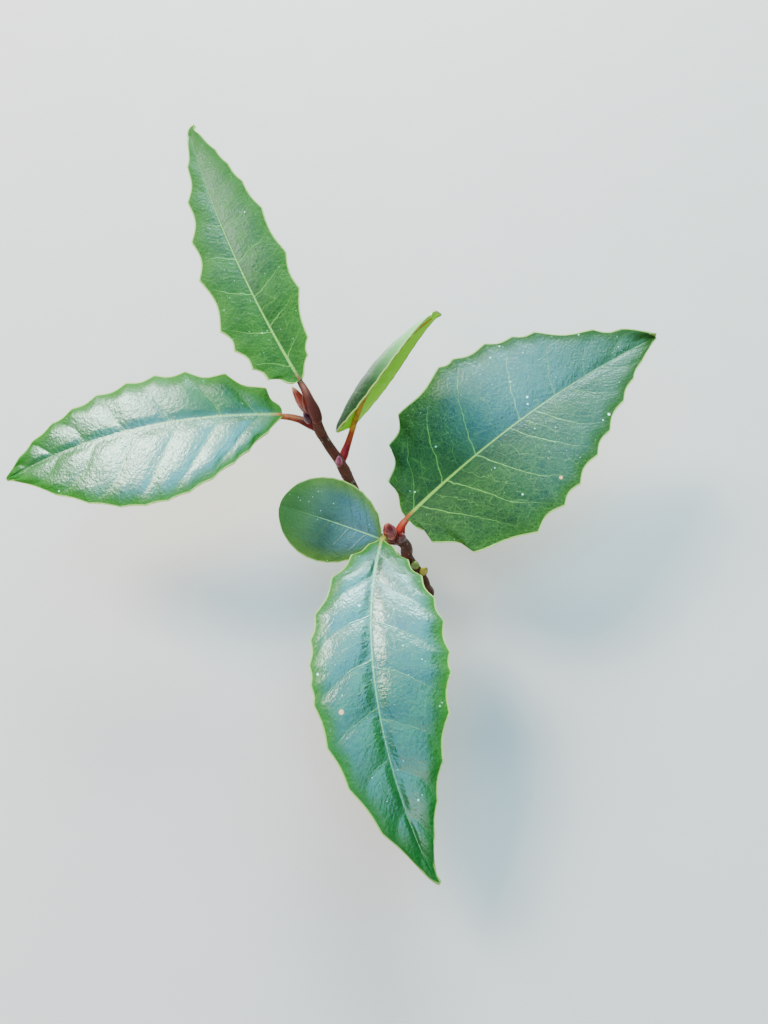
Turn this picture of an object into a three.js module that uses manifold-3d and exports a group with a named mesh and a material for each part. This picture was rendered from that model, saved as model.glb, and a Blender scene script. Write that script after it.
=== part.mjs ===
// Bay laurel seedling: two short woody shoots on one root collar, with six leaves and seven buds.
// Lengths are millimetres and angles are degrees. Z is up, and the ground is the plane z = 0.
import * as THREE from "three";
import { mergeVertices } from "three/addons/utils/BufferGeometryUtils.js";
import Module from "manifold-3d";

const wasm = await Module();
wasm.setup();

// Clearance between neighbouring pieces.
const GAP = 0.3;

// Finishes of the bark, the blades and the buds.
const BARK = { colour: 0x5a2f28, roughness: 0.62 };
const BLADE = { colour: 0x2f6a35, roughness: 0.32 };
const YOUNG_BLADE = { colour: 0x4f8a36, roughness: 0.4 };
const BUD = { colour: 0x7c2a28, roughness: 0.4 };
const PALE_BUD = { colour: 0x9aa03c, roughness: 0.5 };

// Root collar: the foot of the plant, cut flat at ground level, with its flare and its upper end.
const COLLAR_RADIUS = 1.2;
const ROOT_FLARE = 0.5;
const COLLAR_TAPER = 0.35;
const COLLAR_TOP = [-0.7, 0.3, 3.2];
const COLLAR_RINGS = 5;

// Shoots: the points that each axis runs through, the bark radius at the foot and at the tip, the
// shares of the axis where leaves spring from it, and the share that belongs to the root collar.
const SHORT_SHOOT = {
  name: "short_shoot",
  axis: [[0, 0, 1.2], [-0.6, 0.5, 4], [-3.35, 2.41, 9], [-3.73, 2.41, 13.5], [-5.4, 1.85, 17.8]],
  footRadius: 1.12,
  tipRadius: 0.92,
  nodeAt: [0.97],
  stubShare: 0.25,
};
const TALL_SHOOT = {
  name: "tall_shoot",
  axis: [[0, 0, 1.2], [-3.8, 2.6, 4.6], [-7.2, 5.3, 7.3], [-9.72, 7.92, 10.6], [-13.16, 12.5, 17.5],
    [-14.7, 13.84, 21.5], [-16.7, 14.74, 26], [-17.8, 15.18, 29.5], [-18.1, 15.9, 31.9]],
  footRadius: 1.18,
  tipRadius: 0.74,
  nodeAt: [0.68, 0.93],
  stubShare: 0.13,
};
const NODE_SWELLING = 0.13;
const NODE_SPREAD = 0.03;
const SHOOT_RINGS = 26;
const FEWEST_RINGS = 3;
const SHOOT_SIDES = 12;
const SEAM_SIDE = new THREE.Vector3(0.2, -1, 0.1);

// Blades: a thin sheet with cusped teeth along both margins. The bay between two teeth is deeper
// where they stand further apart, as a share of their spacing, and shallower towards the tip.
const BLADE_THICKNESS = 0.56;
const RIM_HALF_WIDTH = 0.3;
const BAY_AT_FOOT = 0.26;
const BAY_AT_TIP = 0.06;
const DEEPEST_BAY = 1.5;
const TOOTH_PROUD = 0.64;
const TOOTH_ONSET = 3;
const SLOPE_STEP = 0.004;
const SHOULDER_AT = 0.93;
const SHOULDER_SPREAD = 0.045;
const STEPS_PER_TOOTH = 4;
const STEPS_ACROSS = 6;
const PATH_STEPS = 240;
const NORMAL_STEP = 0.004;

// Stalks and midribs: the rib narrows towards the tip and shows on the underside of the blade.
const RIB_RADIUS = 0.5;
const RIB_TIP_RADIUS = 0.16;
const RIB_SINK = 0.7;
const RIB_END = 0.9;
const STALK_BEND = 0.45;
const STALK_STEPS = 6;
const RIB_STEPS = 11;
const STALK_SIDES = 8;

// Teeth that stand evenly along a margin, as shares of the blade's length.
const evenTeeth = (count) => Array.from({ length: count }, (_, i) => (i + 1) / (count + 1));

// Leaves. The node is where the stalk springs from, and the foot is where the blade starts. Heading
// is measured from +X towards +Y, rise from the horizontal, and roll lifts the left half. Pairs
// give the left half and the right half: the width along the surface, how full the outline is
// towards foot and tip, how far the half is folded up at the midrib, how far it curls from the
// midrib to the margin, where along the blade its teeth stand, how much toothing scales the bays, and
// the shoulder that widens the half just before the tip. Wave is how far the margin dips in a bay,
// as a share of the bay's depth.
const LEAVES = [
  {
    name: "front_leaf", finish: BLADE,
    node: [-5.7, 1.7, 17.4], foot: [-7.84, -0.24, 20.5], stalkRadius: 0.62,
    length: 52.3, heading: -101.9, sweep: 41.8, rise: 16, riseTip: -29.7, roll: 0.2, twist: -0.5,
    halfWidth: [10.65, 8.62], footPower: [0.91, 0.94], tipPower: [1.43, 1.29],
    fold: [10, 10], foldTip: [10, 10], curl: [-18, -18],
    teeth: [
      [0.025, 0.076, 0.136, 0.212, 0.29, 0.396, 0.46, 0.579, 0.705, 0.8, 0.881],
      [0.03, 0.085, 0.164, 0.274, 0.339, 0.403, 0.451, 0.498, 0.6, 0.7, 0.82],
    ],
    toothing: [0.6, 0.6], wave: 0.3, shoulder: [0, 0],
  },
  {
    name: "right_leaf", finish: BLADE,
    node: [-5, 2.1, 17.2], foot: [-3.77, 3.86, 20.5], stalkRadius: 0.75,
    length: 53.5, heading: 41.4, sweep: -11.9, rise: 18.2, riseTip: 1.1, roll: 5, twist: -0.4,
    halfWidth: [15.35, 15.41], footPower: [0.73, 0.5], tipPower: [1.16, 1.21],
    fold: [8, 8], foldTip: [8, 8], curl: [-10, -10],
    teeth: [
      [0.05, 0.124, 0.205, 0.386, 0.435, 0.537, 0.618, 0.68, 0.834, 0.915],
      [0.017, 0.08, 0.256, 0.372, 0.455, 0.56, 0.646, 0.75, 0.83, 0.9],
    ],
    toothing: [0.9, 0.9], wave: 0.25, shoulder: [0.9, 0.15],
  },
  {
    name: "top_leaf", finish: BLADE,
    node: [-17.9, 15.5, 30.9], foot: [-20.18, 18.19, 37.5], stalkRadius: 0.72,
    length: 53, heading: 121.4, sweep: -15.3, rise: 14, riseTip: 8.1, roll: -5.3, twist: -0.6,
    halfWidth: [6.3, 7.1], footPower: [0.52, 0.76], tipPower: [1.42, 0.98],
    fold: [12, 12], foldTip: [12, 12], curl: [-14, -14],
    teeth: [
      [0.045, 0.092, 0.164, 0.236, 0.412, 0.542, 0.686, 0.821, 0.92],
      [0.059, 0.108, 0.265, 0.398, 0.58, 0.7, 0.784, 0.856, 0.941],
    ],
    toothing: [0.85, 0.5], wave: 0.25, shoulder: [0, 0],
  },
  {
    name: "left_leaf", finish: BLADE,
    node: [-17.75, 15.2, 29.3], foot: [-23.6, 16.99, 30.5], stalkRadius: 0.66,
    length: 47.1, heading: 185, sweep: 8.2, rise: 8.8, riseTip: -28.2, roll: -9.4, twist: -3.3,
    halfWidth: [12.67, 8.25], footPower: [0.97, 0.62], tipPower: [1.21, 0.9],
    fold: [8, 8], foldTip: [8, 8], curl: [-16, -16],
    teeth: [
      [0.05, 0.115, 0.165, 0.24, 0.323, 0.4, 0.48, 0.57, 0.68, 0.8],
      [0.06, 0.188, 0.313, 0.412, 0.507, 0.611, 0.7, 0.78, 0.86, 0.93],
    ],
    toothing: [0.4, 0.8], wave: 0.3, shoulder: [0, 0],
  },
  {
    name: "round_leaf", finish: BLADE,
    node: [-4.9, 1.9, 16.3], foot: [-8.09, 1.78, 17.2], stalkRadius: 0.5,
    length: 17.6, heading: 160.4, sweep: 1.8, rise: 8.2, riseTip: -0.1, roll: -25.6, twist: -0.1,
    halfWidth: [6.72, 6.8], footPower: [0.71, 0.63], tipPower: [0.61, 0.57],
    fold: [6, 6], foldTip: [6, 6], curl: [-20, -20],
    teeth: [evenTeeth(9), evenTeeth(9)],
    toothing: [0.25, 0.25], wave: 0.3, shoulder: [0, 0],
  },
  {
    name: "folded_leaf", finish: YOUNG_BLADE,
    node: [-14.7, 13.8, 21.4], foot: [-13, 18.45, 25], stalkRadius: 0.68,
    length: 24.8, heading: 52, sweep: -36.4, rise: 64.4, riseTip: 28.4, roll: -102.6, twist: 35,
    halfWidth: [5.4, 8.25], footPower: [0.67, 0.38], tipPower: [0.87, 0.39],
    fold: [16.3, 12.7], foldTip: [-0.4, 0.1], curl: [-11.3, -84.9],
    teeth: [evenTeeth(9), evenTeeth(9)],
    toothing: [0.5, 0.5], wave: 0.3, shoulder: [0, 0],
  },
];

// Buds: where each one sits, where it points, and its size.
const BUDS = [
  {
    name: "short_shoot_end_bud", finish: BUD,
    foot: [-6.15, 1.5, 18.6], tip: [-7.12, 1.92, 22.3], radius: 1.05,
  },
  {
    name: "right_side_bud", finish: BUD,
    foot: [-4.7, 1.0, 18.3], tip: [-4.4, 0.9, 20.7], radius: 0.7,
  },
  {
    name: "tall_shoot_end_bud", finish: BUD,
    foot: [-19.2, 16.1, 32.3], tip: [-21.4, 17.13, 37.5], radius: 0.8,
  },
  {
    name: "upper_side_bud", finish: BUD,
    foot: [-19.1, 15.2, 30.9], tip: [-19.9, 15.6, 33.2], radius: 0.55,
  },
  {
    name: "lower_side_bud", finish: BUD,
    foot: [-14.8, 12.6, 22.7], tip: [-14.8, 12.9, 25.1], radius: 0.55,
  },
  {
    name: "basal_bud_a", finish: PALE_BUD,
    foot: [-2, 1.0, 8.5], tip: [-2.15, 0.6, 10.7], radius: 0.68,
  },
  {
    name: "basal_bud_b", finish: PALE_BUD,
    foot: [-0.8, 0.8, 6.3], tip: [0, 0.7, 8.6], radius: 0.64,
  },
];
const BUD_RINGS = 8;
const BUD_SIDES = 10;
const BUD_FOOT_PHASE = 0.16;
const BUD_FULLNESS = 0.8;
const BUD_TIP_SHARE = 0.12;

const radians = THREE.MathUtils.degToRad;
const vector = (p) => new THREE.Vector3(...p);
const UPRIGHT = new THREE.Vector3(0, 0, 1);

// A closed geometry as a solid, after its seams are welded.
function solid(geometry) {
  const bare = geometry.clone();
  bare.deleteAttribute("normal");
  bare.deleteAttribute("uv");
  const welded = mergeVertices(bare, 1e-4);
  return new wasm.Manifold(
    new wasm.Mesh({
      numProp: 3,
      vertProperties: welded.attributes.position.array,
      triVerts: new Uint32Array(welded.index.array),
    }),
  );
}

// The largest body of a solid: trimming can leave slivers beside it.
function largest(made) {
  return made.decompose().reduce((a, b) => (b.volume() > a.volume() ? b : a));
}

// A tapering limb: a closed cylinder whose rings are laid along a path.
function limb(points, radii, sides) {
  const rings = points.length - 1;
  const geometry = new THREE.CylinderGeometry(1, 1, 1, sides, rings);
  const tangents = points.map((p, i) =>
    points[Math.min(i + 1, rings)].clone().sub(points[Math.max(i - 1, 0)]).normalize(),
  );
  const normals = [];
  tangents.forEach((t, i) => {
    const seed = i ? normals[i - 1] : SEAM_SIDE;
    normals.push(seed.clone().addScaledVector(t, -seed.dot(t)).normalize());
  });
  const position = geometry.attributes.position;
  for (let i = 0; i < position.count; i++) {
    const ring = Math.round((position.getY(i) + 0.5) * rings);
    const across = normals[ring].clone().cross(tangents[ring]);
    const place = points[ring].clone();
    place.addScaledVector(normals[ring], position.getX(i) * radii[ring]);
    place.addScaledVector(across, position.getZ(i) * radii[ring]);
    position.setXYZ(i, place.x, place.y, place.z);
  }
  return solid(geometry);
}

function shootCurve(shoot) {
  return new THREE.CatmullRomCurve3(shoot.axis.map(vector), false, "centripetal");
}

// Bark radius at a share of the axis: a taper that swells where leaves spring.
function shootRadius(shoot, share) {
  const taper = THREE.MathUtils.lerp(shoot.footRadius, shoot.tipRadius, share);
  const bump = (at) => Math.exp(-(((share - at) / NODE_SPREAD) ** 2));
  return taper + NODE_SWELLING * shoot.nodeAt.reduce((sum, at) => sum + bump(at), 0);
}

// The stretch of a shoot between two shares of its axis.
function shootPiece(shoot, from, to, extra = 0) {
  const curve = shootCurve(shoot);
  const rings = Math.max(FEWEST_RINGS, Math.ceil(SHOOT_RINGS * (to - from)));
  const shares = Array.from({ length: rings + 1 }, (_, i) =>
    Math.min(1, from + ((to - from) * i) / rings),
  );
  const points = shares.map((share) => curve.getPointAt(share));
  return limb(points, shares.map((share) => shootRadius(shoot, share) + extra), SHOOT_SIDES);
}

// The midrib of a blade, with the direction, left side and upper side at a share of its length.
function midrib(leaf) {
  const path = [vector(leaf.foot)];
  const directions = [];
  for (let i = 0; i < PATH_STEPS; i++) {
    const share = (i + 0.5) / PATH_STEPS;
    const heading = radians(leaf.heading + leaf.sweep * share);
    const rise = radians(THREE.MathUtils.lerp(leaf.rise, leaf.riseTip, share));
    const along = new THREE.Vector3(
      Math.cos(rise) * Math.cos(heading),
      Math.cos(rise) * Math.sin(heading),
      Math.sin(rise),
    );
    directions.push(along);
    path.push(path[i].clone().addScaledVector(along, leaf.length / PATH_STEPS));
  }
  return (share) => {
    const step = THREE.MathUtils.clamp(share, 0, 1) * PATH_STEPS;
    const low = Math.min(Math.floor(step), PATH_STEPS - 1);
    const along = directions[Math.min(Math.round(step), PATH_STEPS - 1)].clone();
    const left = UPRIGHT.clone().cross(along).normalize();
    const upper = along.clone().cross(left);
    const roll = radians(leaf.roll + leaf.twist * share);
    return {
      point: path[low].clone().lerp(path[low + 1], step - low),
      along,
      left: left.clone().multiplyScalar(Math.cos(roll)).addScaledVector(upper, Math.sin(roll)),
      upper: upper.clone().multiplyScalar(Math.cos(roll)).addScaledVector(left, -Math.sin(roll)),
    };
  };
}

// The shares where a margin's teeth stand, with the two ends of the blade.
const margin = (leaf, half) => [0, ...leaf.teeth[half], 1];

// The smooth margin: a full, pointed oval that is 0 at the ends of the blade and 1 at its widest.
function oval(leaf, share, half) {
  const grow = leaf.footPower[half];
  const close = leaf.tipPower[half];
  const widest = grow / (grow + close);
  const peak = widest ** grow * (1 - widest) ** close;
  return (share ** grow * (1 - share) ** close) / peak;
}

// The depth of the bay that follows a tooth, counted from the foot.
function bayDepth(leaf, half, tooth) {
  const shares = margin(leaf, half);
  const low = THREE.MathUtils.clamp(tooth, 0, shares.length - 2);
  const middle = (shares[low] + shares[low + 1]) / 2;
  const widening = oval(leaf, shares[low + 1], half) - oval(leaf, shares[low], half);
  const spacing = Math.hypot(
    (shares[low + 1] - shares[low]) * leaf.length,
    widening * leaf.halfWidth[half],
  );
  const slope = THREE.MathUtils.lerp(BAY_AT_FOOT, BAY_AT_TIP, middle);
  return leaf.toothing[half] * Math.min(slope * spacing, DEEPEST_BAY);
}

// How far the margin stands out from a smooth one at a share of the length, and how deep in a bay
// that place is.
function toothing(leaf, share, half) {
  const shares = margin(leaf, half);
  const tooth = Math.max(1, shares.findIndex((at) => at >= share)) - 1;
  const part = (share - shares[tooth]) / (shares[tooth + 1] - shares[tooth]);
  const [before, here, after] = [-1, 0, 1].map((i) => bayDepth(leaf, half, tooth + i));
  const proud = (TOOTH_PROUD * THREE.MathUtils.lerp(before + here, here + after, part)) / 2;
  const into = Math.sin(Math.PI * part);
  return { out: proud - here * into, dip: here * into ** 2 };
}

// The margin at a share of the length: how far it stands out from the midrib, and how far along the
// blade it is set, because its teeth stand square to the oval. Some leaves have a shoulder as well.
function marginAt(leaf, share, half) {
  const full = oval(leaf, share, half);
  const low = Math.max(share - SLOPE_STEP, 0);
  const high = Math.min(share + SLOPE_STEP, 1);
  const widening = (oval(leaf, high, half) - oval(leaf, low, half)) * leaf.halfWidth[half];
  const lean = Math.atan2(widening, (high - low) * leaf.length);
  const teeth = toothing(leaf, share, half).out * Math.min(1, TOOTH_ONSET * full);
  const shoulder = leaf.shoulder[half] * Math.exp(-(((share - SHOULDER_AT) / SHOULDER_SPREAD) ** 2));
  return {
    out: RIM_HALF_WIDTH + leaf.halfWidth[half] * full + shoulder + teeth * Math.cos(lean),
    set: -teeth * Math.sin(lean),
  };
}

// A point of the blade's middle surface: across runs from -1 at the right margin to 1 at the left.
function bladePoint(leaf, rib, share, across) {
  const half = across < 0 ? 1 : 0;
  const { point, along, left, upper } = rib(share);
  const edge = marginAt(leaf, share, half);
  const out = Math.abs(across) * edge.out;
  const start = radians(THREE.MathUtils.lerp(leaf.fold[half], leaf.foldTip[half], share));
  const bend = radians(leaf.curl[half]) / leaf.halfWidth[half];
  const sideways = (Math.sin(start + bend * out) - Math.sin(start)) / bend;
  const dip = leaf.wave * toothing(leaf, share, half).dip * across ** 2;
  const height = (Math.cos(start) - Math.cos(start + bend * out)) / bend - dip;
  return point
    .addScaledVector(along, edge.set * across ** 2)
    .addScaledVector(left, Math.sign(across) * sideways)
    .addScaledVector(upper, height);
}

// The share of the length that a column of the sheet has at a distance across: the columns lean so
// that each margin has one on every tooth.
function columnShare(leaf, column, across) {
  const atMargin = [0, 1].map((half) => {
    const shares = margin(leaf, half);
    const low = Math.min(Math.floor(column / STEPS_PER_TOOTH), shares.length - 2);
    return THREE.MathUtils.lerp(shares[low], shares[low + 1], column / STEPS_PER_TOOTH - low);
  });
  return THREE.MathUtils.lerp(atMargin[1], atMargin[0], (across + 1) / 2);
}

// The blade as a closed sheet, its thickness laid off square to the surface.
function blade(leaf) {
  const rib = midrib(leaf);
  const steps = (leaf.teeth[0].length + 1) * STEPS_PER_TOOTH;
  const geometry = new THREE.BoxGeometry(1, 2, 1, steps, STEPS_ACROSS, 1);
  const position = geometry.attributes.position;
  for (let i = 0; i < position.count; i++) {
    const across = position.getY(i);
    const share = columnShare(leaf, (position.getX(i) + 0.5) * steps, across);
    const at = (ds, da) =>
      bladePoint(
        leaf,
        rib,
        THREE.MathUtils.clamp(share + ds, 0, 1),
        THREE.MathUtils.clamp(across + da, -1, 1),
      );
    const lengthwise = at(NORMAL_STEP, 0).sub(at(-NORMAL_STEP, 0));
    const crosswise = at(0, NORMAL_STEP).sub(at(0, -NORMAL_STEP));
    const normal = lengthwise.cross(crosswise).normalize();
    const place = at(0, 0).addScaledVector(normal, position.getZ(i) * BLADE_THICKNESS);
    position.setXYZ(i, place.x, place.y, place.z);
  }
  return solid(geometry);
}

// Stalk and midrib: one limb from the shoot's axis, bent into the blade and along its underside.
function stalk(leaf, extra = 0, withRib = true) {
  const rib = midrib(leaf);
  const first = rib(0);
  const sink = (share) => RIB_SINK * THREE.MathUtils.lerp(RIB_RADIUS, RIB_TIP_RADIUS, share);
  const below = (at, share) => at.point.clone().addScaledVector(at.upper, -sink(share));
  const reach = STALK_BEND * vector(leaf.node).distanceTo(first.point);
  const foot = below(first, 0);
  const bend = new THREE.QuadraticBezierCurve3(
    vector(leaf.node),
    foot.clone().addScaledVector(first.along, -reach),
    foot,
  );
  const points = bend.getPoints(STALK_STEPS);
  const radii = points.map((_, i) =>
    extra + THREE.MathUtils.lerp(leaf.stalkRadius, RIB_RADIUS, (i / STALK_STEPS) ** 2),
  );
  for (let i = 1; withRib && i <= RIB_STEPS; i++) {
    const share = (RIB_END * i) / RIB_STEPS;
    points.push(below(rib(share), share));
    radii.push(extra + THREE.MathUtils.lerp(RIB_RADIUS, RIB_TIP_RADIUS, share / RIB_END));
  }
  return limb(points, radii, STALK_SIDES);
}

// A bud: an egg turned about its own axis, with a blunt foot and a pointed tip.
function bud(spec, extra = 0) {
  const rings = Array.from({ length: BUD_RINGS + 1 }, (_, i) => {
    const share = i / BUD_RINGS;
    const phase = BUD_FOOT_PHASE + (1 - BUD_FOOT_PHASE) * share ** BUD_FULLNESS;
    const swell = Math.max(Math.sin(Math.PI * phase), 0) ** BUD_FULLNESS;
    return { share, radius: spec.radius * Math.max(swell, BUD_TIP_SHARE) + extra };
  });
  const foot = vector(spec.foot);
  const reach = vector(spec.tip).sub(foot);
  const stretch = extra / reach.length();
  const points = rings.map(({ share }) =>
    foot.clone().addScaledVector(reach, share * (1 + 2 * stretch) - stretch),
  );
  return limb(points, rings.map(({ radius }) => radius), BUD_SIDES);
}

// Root collar: a flared foot that carries the first stretch of both shoots.
function collar() {
  const points = [];
  const radii = [];
  for (let i = 0; i <= COLLAR_RINGS; i++) {
    const share = i / COLLAR_RINGS;
    points.push(new THREE.Vector3(
      COLLAR_TOP[0] * share ** 2,
      COLLAR_TOP[1] * share ** 2,
      COLLAR_TOP[2] * share,
    ));
    radii.push(COLLAR_RADIUS + ROOT_FLARE * (1 - share) ** 2 - COLLAR_TAPER * share);
  }
  const stubs = [SHORT_SHOOT, TALL_SHOOT].map((shoot) => shootPiece(shoot, 0, shoot.stubShare));
  const joined = limb(points, radii, SHOOT_SIDES).add(stubs[0]).add(stubs[1]);
  return joined.trimByPlane([0, 0, 1], 0);
}

const group = new THREE.Group();
group.name = "bay_laurel_seedling";

// A solid becomes a named mesh of the plant.
function place(name, made, { colour, roughness }) {
  const mesh = made.getMesh();
  const geometry = new THREE.BufferGeometry();
  const count = mesh.numVert;
  const corners = new Float32Array(count * 3);
  for (let i = 0; i < count; i++) {
    corners.set(mesh.vertProperties.subarray(i * mesh.numProp, i * mesh.numProp + 3), i * 3);
  }
  geometry.setAttribute("position", new THREE.BufferAttribute(corners, 3));
  geometry.setIndex(new THREE.BufferAttribute(mesh.triVerts, 1));
  geometry.computeVertexNormals();
  const material = new THREE.MeshStandardMaterial({ color: colour, roughness, metalness: 0 });
  const part = new THREE.Mesh(geometry, material);
  part.name = name;
  group.add(part);
}

// Woody pieces come first; every later piece is trimmed to sit clear of the ones before it.
let taken = shootPiece(SHORT_SHOOT, 0, 1, GAP).add(shootPiece(TALL_SHOOT, 0, 1, GAP));
place("root_collar", collar(), BARK);
for (const shoot of [SHORT_SHOOT, TALL_SHOOT]) {
  const from = shoot.stubShare + GAP / shootCurve(shoot).getLength();
  place(shoot.name, shootPiece(shoot, from, 1), BARK);
}
for (const leaf of LEAVES) {
  const whole = blade(leaf).add(stalk(leaf));
  place(leaf.name, largest(whole.subtract(taken)), leaf.finish);
  taken = taken.add(stalk(leaf, GAP, false));
}
for (const spec of BUDS) {
  place(spec.name, largest(bud(spec).subtract(taken)), spec.finish);
  taken = taken.add(bud(spec, GAP));
}

export default group;
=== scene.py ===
"""Bay laurel seedling: two woody shoots on one root collar, with six leaves and seven buds.

Metres, Z up, the ground at z = 0. Sizes are written in millimetres and multiplied by MM.
"""
import math

import bpy
import numpy as np
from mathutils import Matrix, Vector, noise


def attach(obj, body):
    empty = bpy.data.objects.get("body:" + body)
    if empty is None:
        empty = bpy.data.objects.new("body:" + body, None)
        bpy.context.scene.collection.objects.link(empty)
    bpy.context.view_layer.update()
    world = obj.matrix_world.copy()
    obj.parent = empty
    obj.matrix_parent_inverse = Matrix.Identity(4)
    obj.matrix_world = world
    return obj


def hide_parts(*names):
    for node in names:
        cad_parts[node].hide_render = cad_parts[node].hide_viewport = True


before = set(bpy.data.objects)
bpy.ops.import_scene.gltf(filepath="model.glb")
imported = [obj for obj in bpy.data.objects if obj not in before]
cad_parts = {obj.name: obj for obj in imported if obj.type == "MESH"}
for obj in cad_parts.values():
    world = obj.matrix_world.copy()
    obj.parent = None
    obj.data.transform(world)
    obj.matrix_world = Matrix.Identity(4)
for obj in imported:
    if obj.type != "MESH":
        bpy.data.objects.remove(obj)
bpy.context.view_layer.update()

# Root collar and shoots. Two young stems, about 2 mm thick, rise from one flared foot that is cut
# flat at the ground. They are grown together in one skin of smooth red-brown bark, with fine
# lengthwise wrinkles, pale lenticels, and a swelling with ring scars where each leaf springs.
MM = 0.001
COLLAR_RADIUS = 1.2
ROOT_FLARE = 0.5
COLLAR_TAPER = 0.35
COLLAR_TOP = (-0.7, 0.3, 3.2)
COLLAR_RINGS = 12
COLLAR_BURIED = 0.4
SHOOT_FOOT = 1.2
SHORT_SHOOT = {
    "axis": [(0, 0, SHOOT_FOOT), (-0.6, 0.5, 4), (-3.35, 2.41, 9), (-3.73, 2.41, 13.5),
             (-5.4, 1.85, 17.8)],
    "radius": (1.12, 0.92),
    "nodes": (0.97,),
    "scars": (0.62, 0.66, 0.9),
}
TALL_SHOOT = {
    "axis": [(0, 0, SHOOT_FOOT), (-3.8, 2.6, 4.6), (-7.2, 5.3, 7.3), (-9.72, 7.92, 10.6),
             (-13.16, 12.5, 17.5), (-14.7, 13.84, 21.5), (-16.7, 14.74, 26),
             (-17.8, 15.18, 29.5), (-18.1, 15.9, 31.9)],
    "radius": (1.18, 0.74),
    "nodes": (0.68, 0.93),
    "scars": (0.4, 0.43, 0.655, 0.9),
}
NODE_SWELLING = 0.13
NODE_SPREAD = 0.03
SHOOT_RINGS = 60
SHOOT_SIDES = 24
BARK_VOXEL = 0.1
WRINKLE = 0.028
LENTICELS = 34
LENTICEL_SIZE = (0.42, 0.2)
LENTICEL_HEIGHT = 0.05
LENTICEL_SPREAD = (0.6, 1.1)
LOWEST_LENTICEL = 1.5
LINE_STEPS = 200
SPAN_STEPS = 60
BARK_SMOOTHING = 8
BARK_ROUND = 1.1
BARK_DRAWN_OUT = 0.16
BARK_LUMPS = 0.025
SCAR_HEIGHT = 0.055
SCAR_WIDTH = 0.13
SCAR_GROOVE = 0.16
SCAR_WANDER = 0.12
FLAT_FOOT = 0.3


def shoot_line(axis, steps):
    """Evenly spaced points, in millimetres, of the smooth line through a shoot's axis points."""
    p = np.array(axis, float)
    p = np.vstack([2 * p[0] - p[1], p, 2 * p[-1] - p[-2]])
    line = []
    for a, b, c, d in zip(p, p[1:], p[2:], p[3:]):
        before, here, after = (np.linalg.norm(q - r) ** 0.5 for q, r in ((b, a), (c, b), (d, c)))
        start = here * ((b - a) / before - (c - a) / (before + here) + (c - b) / here)
        end = here * ((c - b) / here - (d - b) / (here + after) + (d - c) / after)
        u = np.linspace(0, 1, SPAN_STEPS, endpoint=False)[:, None]
        line.append(b + start * u + (3 * c - 3 * b - 2 * start - end) * u**2
                    + (2 * b - 2 * c + start + end) * u**3)
    line = np.vstack(line + [p[-2:-1]])
    run = np.concatenate([[0], np.cumsum(np.linalg.norm(np.diff(line, axis=0), axis=1))])
    even = np.linspace(0, run[-1], steps + 1)
    return np.stack([np.interp(even, run, line[:, k]) for k in range(3)], 1)


def shoot_radii(shoot, shares):
    """Bark radius at shares of the axis: a taper that swells where leaves spring."""
    foot, tip = shoot["radius"]
    swell = sum(np.exp(-(((shares - at) / NODE_SPREAD) ** 2)) for at in shoot["nodes"])
    return foot + (tip - foot) * shares + NODE_SWELLING * swell


def limb(name, points, radii, sides):
    """A tapering limb: a disc at its foot, drawn out ring by ring along its line."""
    points = [Vector(p) * MM for p in points]
    headings = [(points[min(i + 1, len(points) - 1)] - points[max(i - 1, 0)]).normalized()
                for i in range(len(points))]
    turn = Vector((0, 0, 1)).rotation_difference(headings[0]).to_euler("XYZ")
    bpy.ops.object.select_all(action="DESELECT")
    bpy.ops.mesh.primitive_circle_add(vertices=sides, radius=radii[0] * MM, fill_type="NGON",
                                      location=points[0], rotation=turn)
    piece = bpy.context.object
    piece.name = name
    bpy.ops.object.transform_apply(location=True, rotation=True, scale=True)
    bpy.ops.object.mode_set(mode="EDIT")
    bpy.ops.mesh.select_all(action="SELECT")
    for i in range(1, len(points)):
        bpy.ops.mesh.extrude_region_move(
            TRANSFORM_OT_translate={"value": points[i] - points[i - 1]})
        swing = headings[i - 1].rotation_difference(headings[i]).to_euler("XYZ")
        for axis, angle in zip("XYZ", swing):
            bpy.ops.transform.rotate(value=-angle, orient_axis=axis, center_override=points[i])
        grow = radii[i] / radii[i - 1]
        bpy.ops.transform.resize(value=(grow, grow, grow), center_override=points[i])
    bpy.ops.mesh.select_all(action="SELECT")
    bpy.ops.mesh.normals_make_consistent(inside=False)
    bpy.ops.object.mode_set(mode="OBJECT")
    return piece


def join(pieces, name):
    """Several pieces become one."""
    bpy.ops.object.select_all(action="DESELECT")
    for piece in pieces:
        piece.select_set(True)
    bpy.context.view_layer.objects.active = pieces[0]
    bpy.ops.object.join()
    pieces[0].name = name
    pieces[0].data.name = name
    return pieces[0]


def apply_modifier(piece, kind, **settings):
    """One modifier with its settings, applied."""
    bpy.ops.object.select_all(action="DESELECT")
    piece.select_set(True)
    bpy.context.view_layer.objects.active = piece
    modifier = piece.modifiers.new(kind.title(), kind)
    for key, value in settings.items():
        setattr(modifier, key, value)
    bpy.ops.object.modifier_apply(modifier=modifier.name)


def places(piece):
    """The places of a piece's vertices, in millimetres."""
    co = np.zeros(len(piece.data.vertices) * 3)
    piece.data.vertices.foreach_get("co", co)
    return co.reshape(-1, 3) / MM


def facings(piece):
    """The directions that a piece's vertices face."""
    facing = np.zeros(len(piece.data.vertices) * 3)
    piece.data.vertices.foreach_get("normal", facing)
    return facing.reshape(-1, 3)


def move_to(piece, spots):
    """Puts a piece's vertices at these places, in millimetres."""
    piece.data.vertices.foreach_set("co", (spots * MM).ravel())
    piece.data.update()


def mark(piece, name, *values):
    """Keeps up to three numbers for each vertex, which the finishes read."""
    rows = np.zeros((len(piece.data.vertices), 3), np.float32)
    for column, value in enumerate(values):
        rows[:, column] = value
    kept = piece.data.attributes.new(name, "FLOAT_VECTOR", "POINT")
    kept.data.foreach_set("vector", rows.ravel())


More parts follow.
